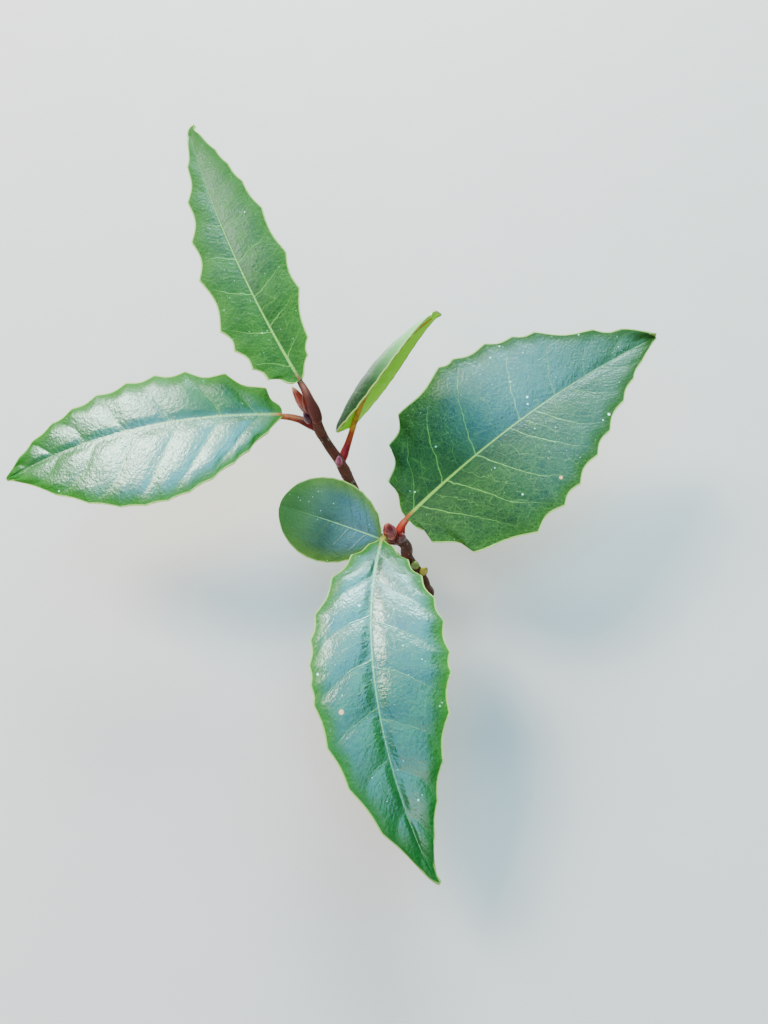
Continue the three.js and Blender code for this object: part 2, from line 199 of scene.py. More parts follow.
def nearest(spots, line):
    """For each place, the nearest step of a line and how far away it is."""
    step = np.zeros(len(spots), int)
    far = np.full(len(spots), np.inf)
    for i, point in enumerate(line):
        away = np.linalg.norm(spots - point, axis=1)
        closer = away < far
        step[closer] = i
        far[closer] = away[closer]
    return step, far


def ripple(spots, size, seed):
    """Smooth noise from -1 to 1 at places in millimetres, with lumps of about this size."""
    return np.array([noise.noise(Vector(p) / size + Vector((seed, 2.3 * seed, -seed)))
                     for p in spots])


rings = np.linspace(-COLLAR_BURIED / COLLAR_TOP[2], 1, COLLAR_RINGS)
foot = limb(
    "root_collar_wood",
    [(COLLAR_TOP[0] * abs(s) * s, COLLAR_TOP[1] * abs(s) * s, COLLAR_TOP[2] * s) for s in rings],
    [COLLAR_RADIUS + ROOT_FLARE * (1 - s) ** 2 - COLLAR_TAPER * s for s in rings],
    SHOOT_SIDES,
)
shoots = []
for shoot in (SHORT_SHOOT, TALL_SHOOT):
    shares = np.linspace(0, 1, SHOOT_RINGS + 1)
    shoots.append(limb("shoot_wood", shoot_line(shoot["axis"], SHOOT_RINGS),
                       shoot_radii(shoot, shares), SHOOT_SIDES))
wood = join([foot, *shoots], "shoots_and_root_collar")
apply_modifier(wood, "REMESH", mode="VOXEL", voxel_size=BARK_VOXEL * MM, use_smooth_shade=True)
apply_modifier(wood, "SMOOTH", factor=0.5, iterations=BARK_SMOOTHING)
bpy.ops.object.mode_set(mode="EDIT")
bpy.ops.mesh.select_all(action="SELECT")
bpy.ops.mesh.bisect(plane_co=(0, 0, 0), plane_no=(0, 0, 1), use_fill=True, clear_inner=True,
                    threshold=1e-7)
bpy.ops.object.mode_set(mode="OBJECT")

# Where each point of the bark lies on its shoot: how far up, and how far round.
spots, facing = places(wood), facings(wood)
lines = [shoot_line(shoot["axis"], LINE_STEPS) for shoot in (SHORT_SHOOT, TALL_SHOOT)]
found = [nearest(spots, line) for line in lines]
on_tall = found[1][1] < found[0][1]
step = np.where(on_tall, found[1][0], found[0][0])
line_points = np.where(on_tall[:, None], lines[1][step], lines[0][step])
lengths = [np.linalg.norm(np.diff(line, axis=0), axis=1).sum() for line in lines]
up_shoot = step / LINE_STEPS * np.where(on_tall, lengths[1], lengths[0])
away = spots - line_points
round_shoot = np.arctan2(away[:, 1], away[:, 0])
up_shoot = np.where(step > 0, up_shoot, spots[:, 2] - SHOOT_FOOT)
ringed = np.stack([np.cos(round_shoot) * BARK_ROUND, np.sin(round_shoot) * BARK_ROUND,
                   up_shoot * BARK_DRAWN_OUT + 9 * on_tall], 1)
relief = WRINKLE * ripple(ringed, 0.22, 1) + 0.5 * WRINKLE * ripple(spots, 0.3, 2)
relief += BARK_LUMPS * ripple(spots, 2.4, 3)
for shoot, length, mine in ((SHORT_SHOOT, lengths[0], ~on_tall), (TALL_SHOOT, lengths[1], on_tall)):
    for at in shoot["scars"]:
        off = up_shoot - at * length - SCAR_WANDER * np.sin(round_shoot * 2 + at * 9)
        groove = np.exp(-(((off - 0.3) / SCAR_GROOVE) ** 2))
        relief += mine * SCAR_HEIGHT * (np.exp(-((off / SCAR_WIDTH) ** 2)) - 0.6 * groove)
rng = np.random.default_rng(7)
pores = np.zeros(len(spots))
candidates = np.flatnonzero((spots[:, 2] > LOWEST_LENTICEL) & (step > 6) & (step < LINE_STEPS - 10))
for centre in rng.choice(candidates, LENTICELS, replace=False):
    offset = spots - spots[centre]
    line = lines[int(on_tall[centre])]
    heading = line[min(step[centre] + 2, LINE_STEPS)] - line[max(step[centre] - 2, 0)]
    heading /= np.linalg.norm(heading)
    up = offset @ heading
    sideways = np.linalg.norm(offset - up[:, None] * heading, axis=1)
    size = rng.uniform(*LENTICEL_SPREAD)
    pores = np.maximum(pores, np.exp(-((up / (LENTICEL_SIZE[0] * size)) ** 2)
                                     - (sideways / (LENTICEL_SIZE[1] * size)) ** 2))
relief += LENTICEL_HEIGHT * pores
keep_flat = np.clip(spots[:, 2] / FLAT_FOOT, 0, 1)
moved = spots + facing * (relief * keep_flat)[:, None]
moved[:, 2] = np.maximum(moved[:, 2], 0)
move_to(wood, moved)
mark(wood, "bark_plan", ringed[:, 0], ringed[:, 1], up_shoot + 60 * on_tall)
mark(wood, "bark_pores", pores)


def finish(name):
    """A new finish: its material, its node tree and its surface shader."""
    material = bpy.data.materials.new(name)
    material.use_nodes = True
    return material, material.node_tree, material.node_tree.nodes["Principled BSDF"]


def put(tree, kind, sockets=None, **settings):
    """Adds a node with its settings, with numbers or links on its sockets."""
    node = tree.nodes.new(kind)
    for key, value in settings.items():
        setattr(node, key, value)
    for socket, value in (sockets or {}).items():
        if isinstance(value, bpy.types.NodeSocket):
            tree.links.new(value, node.inputs[socket])
        else:
            node.inputs[socket].default_value = value
    return node


def kept_values(tree, name):
    """The numbers kept on the piece under this name, as a place and one by one."""
    source = put(tree, "ShaderNodeAttribute", attribute_name=name)
    split = put(tree, "ShaderNodeSeparateXYZ", {0: source.outputs["Vector"]})
    return source.outputs["Vector"], split.outputs["X"], split.outputs["Y"], split.outputs["Z"]


def maths(tree, operation, a, b=0.0, c=0.0):
    """One arithmetic step."""
    return put(tree, "ShaderNodeMath", {0: a, 1: b, 2: c}, operation=operation).outputs[0]


def noise_of(tree, place, scale, detail, roughness=0.5):
    """Soft noise at a place."""
    return put(tree, "ShaderNodeTexNoise", {"Vector": place, "Scale": scale, "Detail": detail,
                                            "Roughness": roughness}).outputs[0]


def ramp(tree, value, low, high, start=0.0, end=1.0):
    """A smooth ramp from start to end as value goes from low to high."""
    return put(tree, "ShaderNodeMapRange",
               {"Value": value, "From Min": low, "From Max": high, "To Min": start, "To Max": end},
               interpolation_type="SMOOTHSTEP").outputs["Result"]


def blend_of(tree, share, first, second):
    """A mix of two colours: a share of 0 gives the first, and 1 the second."""
    node = put(tree, "ShaderNodeMix", data_type="RGBA")
    for index, value in ((0, share), (6, first), (7, second)):
        if isinstance(value, bpy.types.NodeSocket):
            tree.links.new(value, node.inputs[index])
        else:
            node.inputs[index].default_value = value
    return node.outputs[2]


def bumps(tree, height, depth, strength):
    """The way that a skin with small bumps faces, from their height and their depth."""
    return put(tree, "ShaderNodeBump", {"Height": height, "Distance": depth * MM,
                                        "Strength": strength}).outputs[0]


def feed(tree, shader, sockets):
    """Links what changes over a surface to its shader's sockets."""
    for socket, value in sockets.items():
        tree.links.new(value, shader.inputs[socket])


def rgb(red, green, blue):
    """A colour given as on a screen, from 0 to 255, as the shader needs it."""
    parts = [c / 255 for c in (red, green, blue)]
    return tuple(c / 12.92 if c <= 0.04045 else ((c + 0.055) / 1.055) ** 2.4 for c in parts) + (1,)


bark, tree, skin = finish("young_bark")
plan = kept_values(tree, "bark_plan")[0]
pore = kept_values(tree, "bark_pores")[1]
place = put(tree, "ShaderNodeTexCoord").outputs["Object"]
blotch = noise_of(tree, place, 420.0, 4.0)
streak_place = put(tree, "ShaderNodeMapping", {"Vector": plan, "Scale": (1.0, 1.0, 0.1)})
streak = noise_of(tree, streak_place.outputs[0], 7.0, 5.0, 0.65)
fleck = noise_of(tree, place, 5200.0, 3.0)
colour = blend_of(tree, ramp(tree, blotch, 0.35, 0.68), rgb(96, 40, 27), rgb(62, 27, 18))
colour = blend_of(tree, ramp(tree, streak, 0.42, 0.72, 0.0, 0.7), colour, rgb(100, 54, 36))
colour = blend_of(tree, ramp(tree, fleck, 0.56, 0.72, 0.0, 0.45), colour, rgb(112, 80, 62))
colour = blend_of(tree, ramp(tree, pore, 0.35, 0.75, 0.0, 0.85), colour, rgb(142, 112, 86))
height = maths(tree, "MULTIPLY_ADD", fleck, 0.4, streak)
feed(tree, skin, {"Base Color": colour, "Roughness": ramp(tree, streak, 0.3, 0.7, 0.42, 0.58),
                  "Normal": bumps(tree, height, 0.035, 0.6)})
skin.inputs["Specular IOR Level"].default_value = 0.1
wood.data.materials.clear()
wood.data.materials.append(bark)
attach(wood, "root")
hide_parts("root_collar", "short_shoot", "tall_shoot")

# Leaf stalks. Each blade hangs on a short fleshy stalk that grows out of the bark with a swollen
# foot, and runs on under the blade as its midrib. It is soft green wood with a shallow channel on
# top, red or pink near the shoot and yellow-green where the blade starts.
RIB_RADIUS = 0.5
RIB_TIP_RADIUS = 0.13
RIB_SINK = 0.95
RIB_END = 0.94
STALK_BEND = 0.45
STALK_STEPS = 16
RIB_STEPS = 44
STALK_SIDES = 16
STALK_SWELLING = 0.32
SWELLING_AT = 0.22
SWELLING_SPREAD = 0.2
CHANNEL_DEPTH = 0.16
STALK_LUMPS = 0.03


def even_teeth(count):
    """Teeth that stand evenly along a margin, as shares of the blade's length."""
    return [(i + 1) / (count + 1) for i in range(count)]


# Lengths are millimetres and angles degrees, as in the plant's solids: the node that a stalk grows
# from, the blade's foot, its course, its outline, its fold and curl, and its teeth. Pairs give the
# left half and the right half. Then come the shares of the midrib where side veins leave it, how
# far they lean towards the tip, how much the blade swells between them, how plain the net and the
# veins show, and how broad the midrib is. gloss is how rough the wax is, and wax how much of it
# lies at the foot, the middle and the tip of each half. spots are small blemishes: how far along
# the blade and out from the midrib they lie, their size and colour. deep and light are the blade's
# greens, edge is its colour near the margin, tip that of its outer part, rib_colour the midrib's,
# under those of its underside, and stalk_colours those of the stalk at the shoot and at the blade.
# The folded leaf's under colours are painted bright with a painted glow of light shining through
# it, and its tip colour is painted lighter, partly as a painted sheen.
LEAVES = {
    "front_leaf": {
        "node": (-5.7, 1.7, 17.4), "foot": (-7.84, -0.24, 20.5), "stalk": 0.62,
        "length": 52.3, "heading": -101.9, "sweep": 41.8, "rise": 16, "rise_tip": -29.7,
        "roll": 0.2, "twist": -0.5, "half_width": (10.65, 8.62), "foot_power": (0.91, 0.94),
        "tip_power": (1.43, 1.29), "fold": (10, 10), "curl": (-18, -18),
        "teeth": [
            [0.025, 0.076, 0.136, 0.212, 0.29, 0.396, 0.46, 0.579, 0.705, 0.8, 0.881],
            [0.03, 0.085, 0.164, 0.274, 0.339, 0.403, 0.451, 0.498, 0.6, 0.7, 0.82]],
        "toothing": (0.6, 0.6), "wave": 0.3, "seed": 1, "hook": 30,
        "veins": [[0.05, 0.15, 0.285, 0.42, 0.56, 0.69, 0.81, 0.9],
                  [0.06, 0.145, 0.27, 0.40, 0.53, 0.66, 0.79, 0.9]],
        "lean": (0.11, 0.10), "swell": 0.25, "net": 0.36, "vein": 0.35, "rib": 0.7,
        "gloss": 0.31, "wax": ((0.9, 0.36, 0.62), (1, 0.42, 0.52)), "rib_colour": (100, 136, 54),
        "spots": [(27.5, -5.2, 0.36, (236, 150, 92))],
        "deep": (13, 46, 12), "light": (23, 68, 22), "edge": (46, 88, 20),
        "stalk_colours": ((112, 36, 26), (150, 136, 46)),
    },
    "right_leaf": {
        "node": (-5, 2.1, 17.2), "foot": (-3.77, 3.86, 20.5), "stalk": 0.75,
        "length": 53.5, "heading": 41.4, "sweep": -11.9, "rise": 18.2, "rise_tip": 1.1,
        "roll": 5, "twist": -0.4, "half_width": (15.35, 15.41), "foot_power": (0.73, 0.5),
        "tip_power": (1.16, 1.21), "fold": (8, 8), "curl": (-10, -10),
        "teeth": [
            [0.05, 0.124, 0.205, 0.386, 0.435, 0.537, 0.618, 0.68, 0.834, 0.915],
            [0.017, 0.08, 0.256, 0.372, 0.455, 0.56, 0.646, 0.75, 0.83, 0.9]],
        "toothing": (0.9, 0.9), "wave": 0.25, "shoulder": (0.9, 0.15), "seed": 2, "hook": 0,
        "veins": [[0.03, 0.15, 0.285, 0.465, 0.6, 0.72, 0.83, 0.92],
                  [0.05, 0.165, 0.285, 0.42, 0.515, 0.65, 0.78, 0.9]],
        "lean": (0.15, 0.17), "swell": 0.09, "net": 0.7, "vein": 0.6, "rib": 0.85,
        "gloss": 0.36, "wax": ((0.02, 0.62, 0.3), (0.02, 0.24, 0.26)), "curled_tip": 0.9,
        "rib_colour": (128, 142, 46),
        "spots": [(22.8, -12.0, 0.28, (232, 150, 92)), (28.2, 2.5, 0.2, (236, 240, 232)),
                  (27.5, 1.5, 0.16, (236, 240, 232)), (36.7, -8.1, 0.26, (238, 242, 234))],
        "deep": (21, 40, 7), "light": (32, 55, 12), "edge": (36, 62, 12),
        "stalk_colours": ((160, 26, 18), (156, 52, 24)),
    },
    "top_leaf": {
        "node": (-17.9, 15.5, 30.9), "foot": (-20.18, 18.19, 37.5), "stalk": 0.8,
        "length": 53, "heading": 121.4, "sweep": -15.3, "rise": 14, "rise_tip": 8.1,
        "roll": -5.3, "twist": -0.6, "half_width": (6.3, 7.1), "foot_power": (0.52, 0.76),
        "tip_power": (1.42, 0.98), "fold": (12, 12), "curl": (-14, -14),
        "teeth": [
            [0.045, 0.092, 0.164, 0.236, 0.412, 0.542, 0.686, 0.821, 0.92],
            [0.059, 0.108, 0.265, 0.398, 0.58, 0.7, 0.784, 0.856, 0.941]],
        "toothing": (0.85, 0.5), "wave": 0.25, "seed": 3, "hook": -75,
        "veins": [[0.05, 0.17, 0.31, 0.44, 0.57, 0.7, 0.82, 0.92],
                  [0.08, 0.19, 0.3, 0.43, 0.56, 0.69, 0.81, 0.92]],
        "lean": (0.06, 0.07), "swell": 0.09, "net": 0.5, "vein": 0.55, "rib": 0.75,
        "gloss": 0.33, "wax": ((0.0, 0.1, 0.08), (0.0, 0.1, 0.1)), "rib_colour": (120, 140, 60),
        "deep": (27, 56, 10), "light": (39, 74, 16), "edge": (42, 76, 12),
        "stalk_colours": ((96, 38, 30), (112, 50, 36)),
    },
    "left_leaf": {
        "node": (-17.75, 15.2, 29.3), "foot": (-23.6, 16.99, 30.5), "stalk": 0.66,
        "length": 47.1, "heading": 185, "sweep": 8.2, "rise": 8.8, "rise_tip": -28.2,
        "roll": -9.4, "twist": -3.3, "half_width": (12.67, 8.25), "foot_power": (0.97, 0.62),
        "tip_power": (1.21, 0.9), "fold": (8, 8), "curl": (-16, -16),
        "teeth": [
            [0.05, 0.115, 0.165, 0.24, 0.323, 0.4, 0.48, 0.57, 0.68, 0.8],
            [0.06, 0.188, 0.313, 0.412, 0.507, 0.611, 0.7, 0.78, 0.86, 0.93]],
        "toothing": (0.4, 0.8), "wave": 0.3, "seed": 4, "hook": 0,
        "veins": [[0.06, 0.2, 0.34, 0.49, 0.63, 0.77, 0.89],
                  [0.08, 0.2, 0.37, 0.53, 0.67, 0.8, 0.9]],
        "lean": (0.16, 0.1), "swell": 0.27, "net": 0.3, "vein": 0.35, "rib": 0.8,
        "gloss": 0.35, "wax": ((1, 1, 0.7), (0.2, 0.85, 0.9)), "rib_colour": (124, 144, 56),
        "deep": (23, 64, 11), "light": (35, 84, 17), "edge": (50, 90, 20),
        "stalk_colours": ((90, 18, 14), (156, 66, 28)),
    },
    "round_leaf": {
        "node": (-4.9, 1.9, 16.3), "foot": (-8.09, 1.78, 17.2), "stalk": 0.5,
        "length": 17.6, "heading": 160.4, "sweep": 1.8, "rise": 8.2, "rise_tip": -0.1,
        "roll": -25.6, "twist": -0.1, "half_width": (6.72, 6.8), "foot_power": (0.71, 0.63),
        "tip_power": (0.61, 0.57), "fold": (6, 6), "curl": (-20, -20),
        "teeth": [even_teeth(9), even_teeth(9)],
        "toothing": (0.25, 0.25), "wave": 0.3, "seed": 5, "hook": 0,
        "veins": [[0.12, 0.3, 0.5, 0.7, 0.86], [0.1, 0.27, 0.47, 0.67, 0.85]],
        "lean": (0.2, 0.2), "swell": 0.03, "net": 0.1, "vein": 0.04, "rib": 0.45,
        "gloss": 0.39, "wax": ((0.5, 0.12, 0.02), (0.5, 0.2, 0.02)), "rib_colour": (118, 142, 66),
        "tip": (80, 98, 38),
        "spots": [(14.5, -1.8, 0.11, (150, 176, 140)), (13.1, -2.0, 0.09, (150, 176, 140)),
                  (12.7, -2.9, 0.1, (150, 176, 140)), (12.1, -4.0, 0.08, (150, 176, 140))],
        "deep": (22, 40, 18), "light": (36, 56, 24), "edge": (84, 98, 32),
        "stalk_colours": ((96, 36, 24), (110, 116, 48)),
    },
    "folded_leaf": {
        "node": (-14.7, 13.8, 21.4), "foot": (-13, 18.45, 25), "stalk": 0.6,
        "length": 24.8, "heading": 52, "sweep": -36.4, "rise": 64.4, "rise_tip": 28.4,
        "roll": -102.6, "twist": 35, "half_width": (5.4, 8.25), "foot_power": (0.67, 0.38),
        "tip_power": (1.0, 0.62), "fold": (16.3, 12.7), "fold_tip": (-0.4, 0.1),
        "curl": (-11.3, -84.9), "teeth": [even_teeth(9), even_teeth(9)],
        "toothing": (0.5, 0.5), "wave": 0.3, "seed": 6, "hook": -60,
        "veins": [[0.1, 0.25, 0.4, 0.55, 0.7, 0.85], [0.1, 0.25, 0.4, 0.55, 0.7, 0.85]],
        "lean": (0.14, 0.14), "swell": 0.07, "net": 0.3, "vein": 0.25, "rib": 0.7,
        "gloss": 0.27, "wax": ((0.05, 0.8, 1.7), (0.05, 0.8, 1.7)), "rib_colour": (184, 128, 40),
        # under is painted bright, a painted glow of light shining through the leaf; tip is partly a
        # painted sheen.
        "under": ((138, 208, 34), (154, 220, 46), (166, 226, 62)), "tip": (124, 172, 96),
        "deep": (12, 25, 11), "light": (26, 50, 20), "edge": (19, 38, 16),
        "stalk_colours": ((146, 24, 24), (166, 66, 28)),
    },
}
HOOK_START = 0.95
PATH_STEPS = 480


def midrib(leaf):
    """A rule for the blade's midrib: the point, direction, left side and upper side at shares."""
    middle = (np.arange(PATH_STEPS) + 0.5) / PATH_STEPS

    def direction(shares):
        hook = leaf["hook"] * np.clip((shares - HOOK_START) / (1 - HOOK_START), 0, 1) ** 1.5
        heading = np.radians(leaf["heading"] + leaf["sweep"] * shares + hook)
        rise = np.radians(leaf["rise"] + (leaf["rise_tip"] - leaf["rise"]) * shares)
        return np.stack([np.cos(rise) * np.cos(heading), np.cos(rise) * np.sin(heading),
                         np.sin(rise)], -1)

    path = np.vstack([np.zeros(3), np.cumsum(direction(middle), 0)])
    path = path * leaf["length"] / PATH_STEPS + leaf["foot"]
    grid = np.linspace(0, 1, PATH_STEPS + 1)

    def at(shares):
        shares = np.clip(shares, 0, 1)
        point = np.stack([np.interp(shares, grid, path[:, k]) for k in range(3)], -1)
        along = direction(shares)
        left = np.cross([0.0, 0.0, 1.0], along)
        left /= np.linalg.norm(left, axis=-1, keepdims=True)
        upper = np.cross(along, left)
        roll = np.radians(leaf["roll"] + leaf["twist"] * shares)[..., None]
        return (point, along, left * np.cos(roll) + upper * np.sin(roll),
                upper * np.cos(roll) - left * np.sin(roll))

    return at


def stalk_course(leaf):
    """The stalk's line from the shoot to the blade and on under it, with its radii and reach."""
    rib = midrib(leaf)

    def sink(share):
        return RIB_SINK * (RIB_RADIUS + (RIB_TIP_RADIUS - RIB_RADIUS) * share)

    point, along, _, upper = (v[0] for v in rib(np.zeros(1)))
    node = np.array(leaf["node"])
    foot = point - upper * sink(0)
    bend = foot - along * STALK_BEND * np.linalg.norm(node - point)
    t = np.linspace(0, 1, STALK_STEPS + 1)[:, None]
    stalk = (1 - t) ** 2 * node + 2 * t * (1 - t) * bend + t**2 * foot
    radii = leaf["stalk"] + (RIB_RADIUS - leaf["stalk"]) * t[:, 0] ** 2
    swell = np.exp(-(((t[:, 0] - SWELLING_AT) / SWELLING_SPREAD) ** 2))
    radii *= 1 + STALK_SWELLING * swell
    shares = np.linspace(0, RIB_END, RIB_STEPS + 1)[1:]
    point, _, _, upper = rib(shares)
    under = point - upper * sink(shares)[:, None]
    thin = RIB_RADIUS + (RIB_TIP_RADIUS - RIB_RADIUS) * shares / RIB_END
    return (np.vstack([stalk, under]), np.concatenate([radii, thin]),
            np.concatenate([t[:, 0], 1 + shares]))


def stalk_finish(name, near, far, under_blade):
    """Skin of a stalk, from its shoot colour to its blade colour, with a painted highlight on top.
    """
    material, tree, skin = finish(name)
    reach, channel_and_painted_highlight = kept_values(tree, "stalk_plan")[1:3]
    place = put(tree, "ShaderNodeTexCoord").outputs["Object"]
    blotch, grain = noise_of(tree, place, 900.0, 4.0), noise_of(tree, place, 6000.0, 3.0)
    colour = blend_of(tree, ramp(tree, reach, 0.35, 0.9), rgb(*near), rgb(*far))
    colour = blend_of(tree, ramp(tree, reach, 0.98, 1.04), colour, rgb(*under_blade))
    colour = blend_of(tree, ramp(tree, blotch, 0.45, 0.7, 0.0, 0.5), colour,
                      rgb(*(c * 0.62 for c in near)))
    colour = blend_of(tree, ramp(tree, grain, 0.6, 0.75, 0.0, 0.4), colour,
                      rgb(*(min(255, c * 1.25 + 20) for c in near)))
    # The top of the stalk, along its channel, is painted paler: a painted highlight where light
    # falls on its upper side.
    colour = blend_of(tree, ramp(tree, channel_and_painted_highlight, 0.3, 0.9, 0.0, 0.3), colour, rgb(164, 98, 62))
    feed(tree, skin, {"Base Color": colour, "Roughness": ramp(tree, blotch, 0.3, 0.7, 0.3, 0.44),
                      "Normal": bumps(tree, grain, 0.03, 0.5)})
    skin.inputs["Specular IOR Level"].default_value = 0.1
    return material


def shade_smooth(piece):
    """All faces of a piece are shaded smooth."""
    piece.data.polygons.foreach_set("use_smooth", [True] * len(piece.data.polygons))


for name, leaf in LEAVES.items():
    course, radii, reach = stalk_course(leaf)
    stalk = limb(name + "_stalk", course, radii, STALK_SIDES)
    apply_modifier(stalk, "SUBSURF", levels=1, render_levels=1)
    spots, facing = places(stalk), facings(stalk)
    step, _ = nearest(spots, course)
    _, _, _, upper = midrib(leaf)(np.zeros(1))
    reach = reach[step]
    in_stalk = np.clip((1.02 - reach) / 0.15, 0, 1) * np.clip((reach - 0.2) / 0.2, 0, 1)
    # The upward-facing band: sunk here as a shallow channel, and painted paler by the stalk's
    # finish as a painted highlight.
    channel_and_painted_highlight = np.clip(facing @ upper[0], 0, 1) ** 6 * in_stalk
    lumps = STALK_LUMPS * ripple(spots, 0.8, leaf["seed"])
    move_to(stalk, spots + facing * (lumps - CHANNEL_DEPTH * channel_and_painted_highlight)[:, None])
    mark(stalk, "stalk_plan", reach, channel_and_painted_highlight)
    stalk.data.materials.append(
        stalk_finish(name + "_stalk_skin", *leaf["stalk_colours"], leaf["rib_colour"]))
    shade_smooth(stalk)
    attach(stalk, "root")
    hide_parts(name)

# Blades. Leathery sheets a quarter of a millimetre thick, glossy green above and matt pale green
# below, with a raised pale midrib, side veins in shallow valleys, a fine net between them and a
# thin cream margin. Each is one sheet apart from its stalk, and ends in small pale tooth tips.
RIM_HALF_WIDTH = 0.3
BAY_AT_FOOT = 0.26
BAY_AT_TIP = 0.06
DEEPEST_BAY = 1.5
TOOTH_PROUD = 0.64
TOOTH_ONSET = 3
SLOPE_STEP = 0.004
SHOULDER_AT = 0.93
SHOULDER_SPREAD = 0.045
BLADE_THICKNESS = 0.26
STEPS_PER_TOOTH = 22
STEPS_ACROSS = 92
CREASE_PACKING = 0.62
RIB_SHARES = (0, 0.25, 0.5, 0.7, 1)
RIB_HALF_WIDTHS = (0.4, 0.23, 0.16, 0.1, 0.06)
NORMAL_STEP = 0.004
SMALL_LEAF = 30
SMOOTH_BEND = 50
RIB_PROUD = 0.3
VEINS_BEYOND = (-0.12, 1.06)
VEIN_WOBBLE = 0.007
VEIN_SLANT = 0.84
MARGIN_WAVE_SIZE = 7.0
LUMP_SIZE = 3.6
FINE_LUMP_SIZE = 1.5
UNDERSIDE = ((82, 116, 42), (102, 134, 56), (116, 142, 54))


def oval(leaf, share, half):
    """The smooth margin: a full, pointed oval, 0 at the ends of the blade and 1 at its widest."""
    grow, close = leaf["foot_power"][half], leaf["tip_power"][half]
    widest = grow / (grow + close)
    peak = widest**grow * (1 - widest) ** close
    return share**grow * (1 - share) ** close / peak


def toothing(leaf, share, half):
    """How far the margin stands out from a smooth one, and how deep in a bay the place is."""
    shares = np.array([0, *leaf["teeth"][half], 1])
    middle = (shares[1:] + shares[:-1]) / 2
    slope = BAY_AT_FOOT + (BAY_AT_TIP - BAY_AT_FOOT) * middle
    spacing = np.hypot(np.diff(shares) * leaf["length"],
                       np.diff(oval(leaf, shares, half)) * leaf["half_width"][half])
    depth = leaf["toothing"][half] * np.minimum(slope * spacing, DEEPEST_BAY)
    last = len(depth) - 1
    tooth = np.clip(np.searchsorted(shares, share) - 1, 0, last)
    part = (share - shares[tooth]) / (shares[tooth + 1] - shares[tooth])
    before, here, after = (depth[np.clip(tooth + i, 0, last)] for i in (-1, 0, 1))
    proud = TOOTH_PROUD * (before + here + (after - before) * part) / 2
    into = np.sin(np.pi * part)
    return proud - here * into, here * into**2


def margin_at(leaf, share, half):
    """How far the margin stands out from the midrib at shares of the length, and how far along the
    blade it is set, because its teeth stand square to the oval."""
    full = oval(leaf, share, half)
    low, high = np.clip(share - SLOPE_STEP, 0, 1), np.clip(share + SLOPE_STEP, 0, 1)
    widening = (oval(leaf, high, half) - oval(leaf, low, half)) * leaf["half_width"][half]
    lean = np.arctan2(widening, (high - low) * leaf["length"])
    teeth = toothing(leaf, share, half)[0] * np.minimum(1, TOOTH_ONSET * full)
    shoulder = leaf.get("shoulder", (0, 0))[half]
    shoulder *= np.exp(-(((share - SHOULDER_AT) / SHOULDER_SPREAD) ** 2))
    out = RIM_HALF_WIDTH + leaf["half_width"][half] * full + shoulder + teeth * np.cos(lean)
    return out, -teeth * np.sin(lean)


def blade_points(leaf, rib, share, across):
    """Points of the blade's middle surface, with their distances from the midrib and the margin."""
    share, across = np.clip(share, 0, 1), np.clip(across, -1, 1)
    point, along, left, upper = rib(share)
    out, width, set_along = (np.zeros(len(share)) for _ in range(3))
    sideways, height = np.zeros(len(share)), np.zeros(len(share))
    for half, mine in ((0, across >= 0), (1, across < 0)):
        s, a = share[mine], np.abs(across[mine])
        width[mine], set_along[mine] = margin_at(leaf, s, half)
        set_along[mine] *= a**2
        out[mine] = a * width[mine]
        fold, fold_tip = leaf["fold"][half], leaf.get("fold_tip", leaf["fold"])[half]
        start = np.radians(fold + (fold_tip - fold) * s)
        bend = math.radians(leaf["curl"][half]) / leaf["half_width"][half]
        sideways[mine] = (np.sin(start + bend * out[mine]) - np.sin(start)) / bend
        dip = leaf["wave"] * toothing(leaf, s, half)[1] * a**2
        height[mine] = (np.cos(start) - np.cos(start + bend * out[mine])) / bend - dip
    spots = point + left * (np.sign(across) * sideways)[:, None] + upper * height[:, None]
    spots += along * set_along[:, None]
    return spots, np.sign(across) * out, width - out


def side_veins(leaf, share, across):
    """The side veins as a count that grows towards the tip and is whole on each vein, with the
    local gap between neighbouring veins in millimetres."""
    count, gap = np.zeros(len(share)), np.zeros(len(share))
    for half, mine in ((0, across >= 0), (1, across < 0)):
        a = np.abs(across[mine])
        starts = [VEINS_BEYOND[0], *leaf["veins"][half], VEINS_BEYOND[1]]
        courses = np.array([
            start + leaf["lean"][half] * (a**1.1 + 0.35 * a**5) * (1 - 0.35 * max(start, 0))
            + VEIN_WOBBLE * np.sin(6.5 * a + 2.3 * k + leaf["seed"]) * a
            for k, start in enumerate(starts)])
        k = np.clip((courses <= share[mine]).sum(0) - 1, 0, len(starts) - 2)
        low = np.take_along_axis(courses, k[None], 0)[0]
        high = np.take_along_axis(courses, k[None] + 1, 0)[0]
        count[mine] = k + (share[mine] - low) / (high - low)
        gap[mine] = (high - low) * leaf["length"] * VEIN_SLANT
    return count, gap


def between(value, low, high):
    """A smooth step from 0 at low to 1 at high."""
    t = np.clip((value - low) / (high - low), 0, 1)
    return t * t * (3 - 2 * t)


